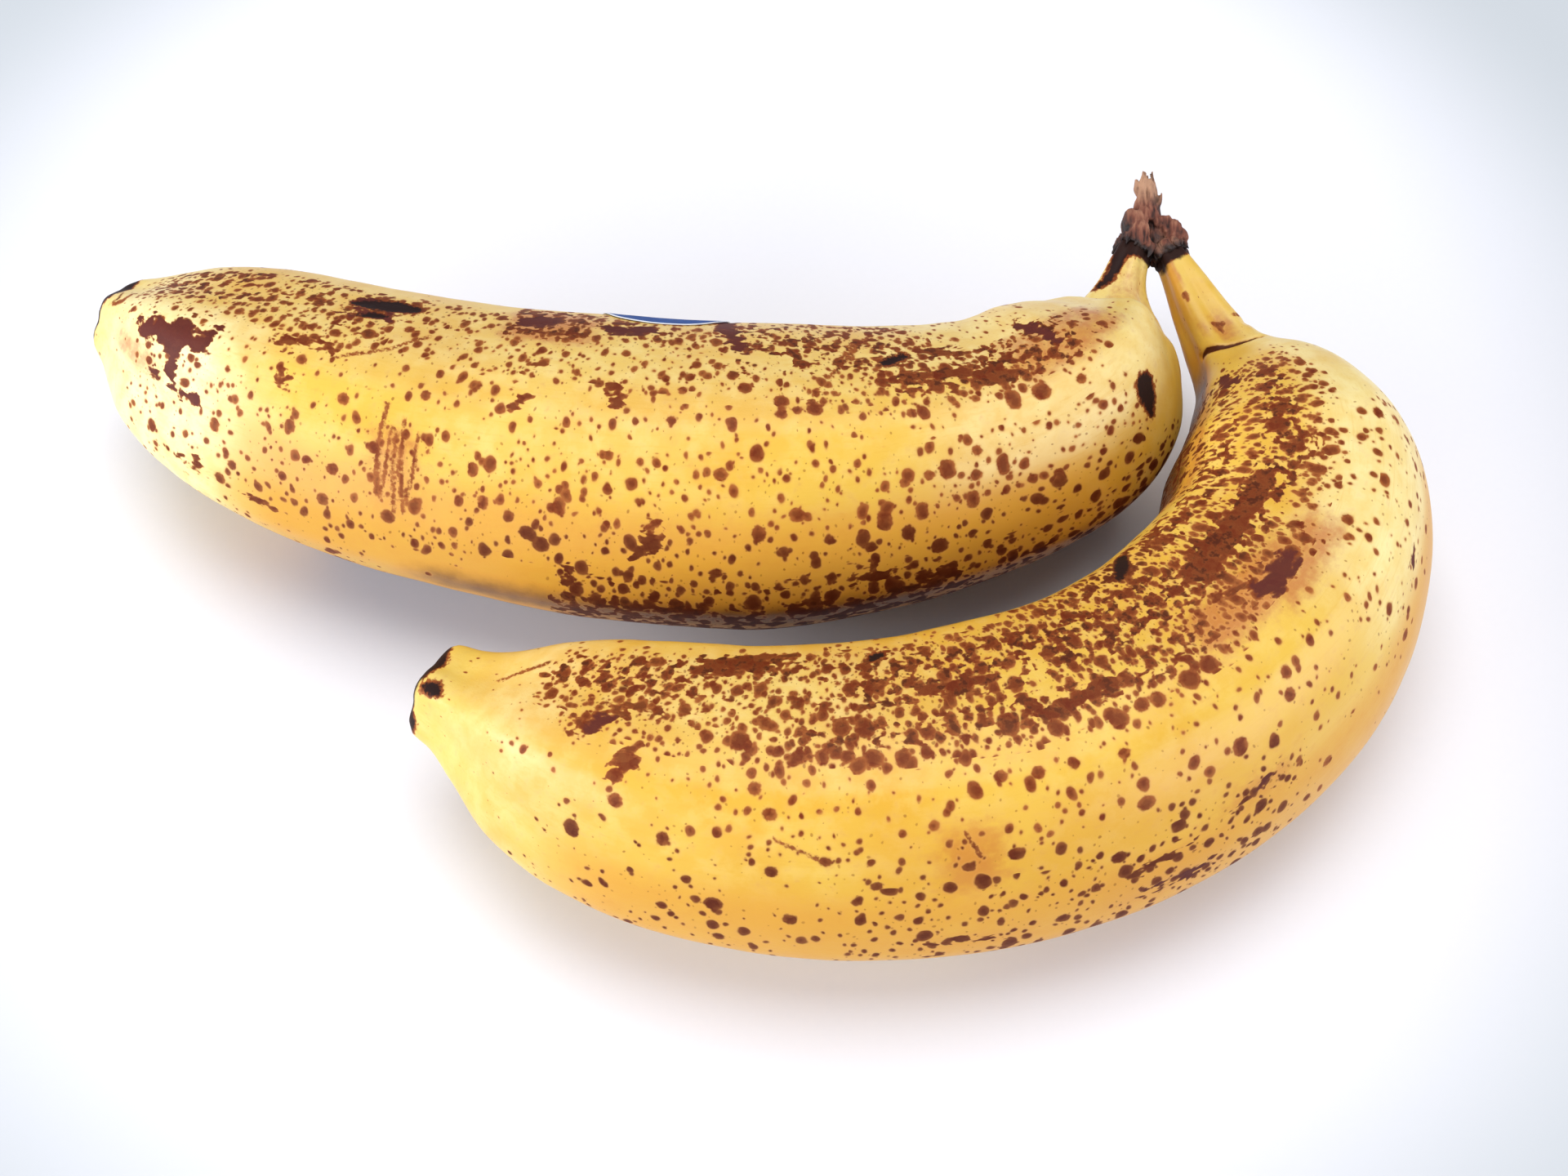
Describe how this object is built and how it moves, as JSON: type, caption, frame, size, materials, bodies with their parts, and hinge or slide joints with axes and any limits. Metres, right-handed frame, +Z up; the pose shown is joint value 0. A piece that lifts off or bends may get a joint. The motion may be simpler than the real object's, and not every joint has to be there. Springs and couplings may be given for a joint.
{
  "type": "bananas",
  "caption": "Ripe, freckled bananas still joined at their dried crown, curved and softly five-ridged, lying on their sides.",
  "frame": {"origin": "on the table, under the middle of the box that holds the pair", "axes": "+X along the pair, from the blossom ends towards the pedicels; +Y towards the side the crown is on; +Z up from the table"},
  "size_m": [0.1878, 0.1187, 0.0415],
  "materials": {
    "banana_skin": "satin, waxy, yellow with brown freckles",
    "dried_stalk": "dry, fibrous, dark brown",
    "sticker_film": "plain blue film with a pale edge"
  },
  "bodies": {
    "root": {"banana_front": "banana_skin", "banana_back": "banana_skin", "crown": "dried_stalk", "sticker": "sticker_film"}
  },
  "joints": []
}
